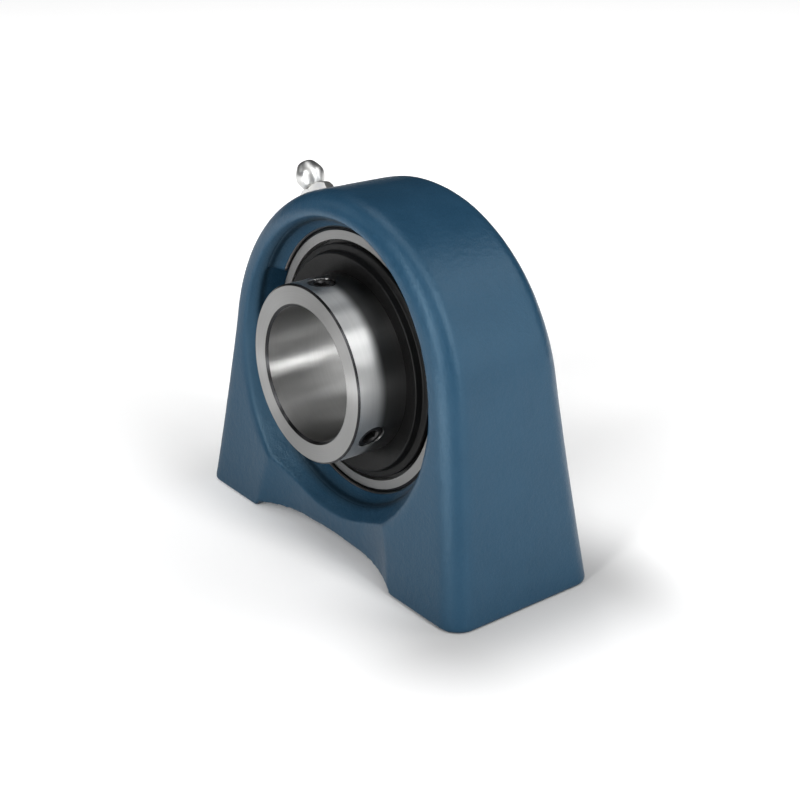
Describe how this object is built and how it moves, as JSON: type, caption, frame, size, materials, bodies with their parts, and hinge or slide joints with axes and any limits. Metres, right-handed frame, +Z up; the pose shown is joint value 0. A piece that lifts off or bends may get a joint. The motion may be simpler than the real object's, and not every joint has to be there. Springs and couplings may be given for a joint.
{
  "type": "pillow block bearing",
  "caption": "Short cast pillow block with tapped feet holding a tilting, grease-lubricated insert ball bearing that two set screws lock to a 30 mm shaft.",
  "frame": {"origin": "on the base plane, midway between the two tapped holes, straight under the bearing centre", "axes": "+Z up from the base, +X along the housing, -Y towards the set-screw side of the inner ring; the shaft axis runs along Y at z = 0.0429"},
  "size_m": [0.0968, 0.042, 0.0815],
  "materials": {
    "housing_paint": "satin blue paint over fine sand-cast iron",
    "nipple_plating": "bright zinc or nickel plate",
    "ball_steel": "lapped bearing steel",
    "spring_steel": "drawn wire",
    "ring_steel": "ground bearing steel",
    "cage_steel": "pressed sheet steel",
    "seal_rubber": "moulded nitrile rubber",
    "flinger_rubber": "satin black rubber-faced flinger",
    "screw_black": "black-oxide alloy steel"
  },
  "bodies": {
    "housing": {"housing": "housing_paint", "nipple_body": "nipple_plating", "nipple_spring": "spring_steel"},
    "outer_ring": {"outer_ring": "ring_steel", "seal_plate_front": "cage_steel", "seal_lip_front": "seal_rubber", "seal_plate_rear": "cage_steel", "seal_lip_rear": "seal_rubber"},
    "inner_ring": {"inner_ring": "ring_steel", "flinger_front": "flinger_rubber", "flinger_rear": "flinger_rubber"},
    "cage": {"cage_front": "cage_steel", "cage_rear": "cage_steel", "cage_rivets": "cage_steel"},
    "set_screw_1": {"set_screw_1": "screw_black"},
    "set_screw_2": {"set_screw_2": "screw_black"},
    "nipple_ball": {"nipple_ball": "ball_steel"},
    "ball_1": {"ball_1": "ball_steel"},
    "ball_2": {"ball_2": "ball_steel"},
    "ball_3": {"ball_3": "ball_steel"},
    "ball_4": {"ball_4": "ball_steel"},
    "ball_5": {"ball_5": "ball_steel"},
    "ball_6": {"ball_6": "ball_steel"},
    "ball_7": {"ball_7": "ball_steel"},
    "ball_8": {"ball_8": "ball_steel"},
    "ball_9": {"ball_9": "ball_steel"}
  },
  "joints": [
    {"name": "insert_align", "type": "hinge", "parent": "housing", "child": "outer_ring", "pos_m": [0, 0, 0.0429], "axis": [1, 0, 0], "range_deg": [-5, 5]},
    {"name": "inner_ring_spin", "type": "hinge", "parent": "outer_ring", "child": "inner_ring", "pos_m": [0, 0, 0.0429], "axis": [0, 1, 0], "continuous": true},
    {"name": "cage_spin", "type": "hinge", "parent": "outer_ring", "child": "cage", "pos_m": [0, 0, 0.0429], "axis": [0, 1, 0], "continuous": true},
    {"name": "set_screw_1_travel", "type": "slide", "parent": "inner_ring", "child": "set_screw_1", "axis": [0, 0, 1], "range_m": [-0.0008, 0.0025]},
    {"name": "set_screw_2_travel", "type": "slide", "parent": "inner_ring", "child": "set_screw_2", "axis": [0.866, 0, -0.5], "range_m": [-0.0008, 0.0025]},
    {"name": "nipple_ball_press", "type": "slide", "parent": "housing", "child": "nipple_ball", "axis": [-0.6157, 0, 0.788], "range_m": [-0.0008, 0], "stiffness_N_per_m": 300, "springref_m": 0.002, "deforming": ["nipple_spring"]},
    {"name": "ball_1_spin", "type": "hinge", "parent": "cage", "child": "ball_1", "pos_m": [0, 0, 0.0659], "axis": [0, 1, 0], "continuous": true},
    {"name": "ball_2_spin", "type": "hinge", "parent": "cage", "child": "ball_2", "pos_m": [0.01478, 0, 0.06052], "axis": [0, 1, 0], "continuous": true},
    {"name": "ball_3_spin", "type": "hinge", "parent": "cage", "child": "ball_3", "pos_m": [0.02265, 0, 0.04689], "axis": [0, 1, 0], "continuous": true},
    {"name": "ball_4_spin", "type": "hinge", "parent": "cage", "child": "ball_4", "pos_m": [0.01992, 0, 0.0314], "axis": [0, 1, 0], "continuous": true},
    {"name": "ball_5_spin", "type": "hinge", "parent": "cage", "child": "ball_5", "pos_m": [0.00787, 0, 0.02129], "axis": [0, 1, 0], "continuous": true},
    {"name": "ball_6_spin", "type": "hinge", "parent": "cage", "child": "ball_6", "pos_m": [-0.00787, 0, 0.02129], "axis": [0, 1, 0], "continuous": true},
    {"name": "ball_7_spin", "type": "hinge", "parent": "cage", "child": "ball_7", "pos_m": [-0.01992, 0, 0.0314], "axis": [0, 1, 0], "continuous": true},
    {"name": "ball_8_spin", "type": "hinge", "parent": "cage", "child": "ball_8", "pos_m": [-0.02265, 0, 0.04689], "axis": [0, 1, 0], "continuous": true},
    {"name": "ball_9_spin", "type": "hinge", "parent": "cage", "child": "ball_9", "pos_m": [-0.01478, 0, 0.06052], "axis": [0, 1, 0], "continuous": true}
  ],
  "couplings": [
    {"joint": "cage_spin", "follows": "inner_ring_spin", "ratio": 0.39647},
    {"joint": "ball_1_spin", "follows": "inner_ring_spin", "ratio": -2.3112},
    {"joint": "ball_2_spin", "follows": "inner_ring_spin", "ratio": -2.3112},
    {"joint": "ball_3_spin", "follows": "inner_ring_spin", "ratio": -2.3112},
    {"joint": "ball_4_spin", "follows": "inner_ring_spin", "ratio": -2.3112},
    {"joint": "ball_5_spin", "follows": "inner_ring_spin", "ratio": -2.3112},
    {"joint": "ball_6_spin", "follows": "inner_ring_spin", "ratio": -2.3112},
    {"joint": "ball_7_spin", "follows": "inner_ring_spin", "ratio": -2.3112},
    {"joint": "ball_8_spin", "follows": "inner_ring_spin", "ratio": -2.3112},
    {"joint": "ball_9_spin", "follows": "inner_ring_spin", "ratio": -2.3112}
  ]
}
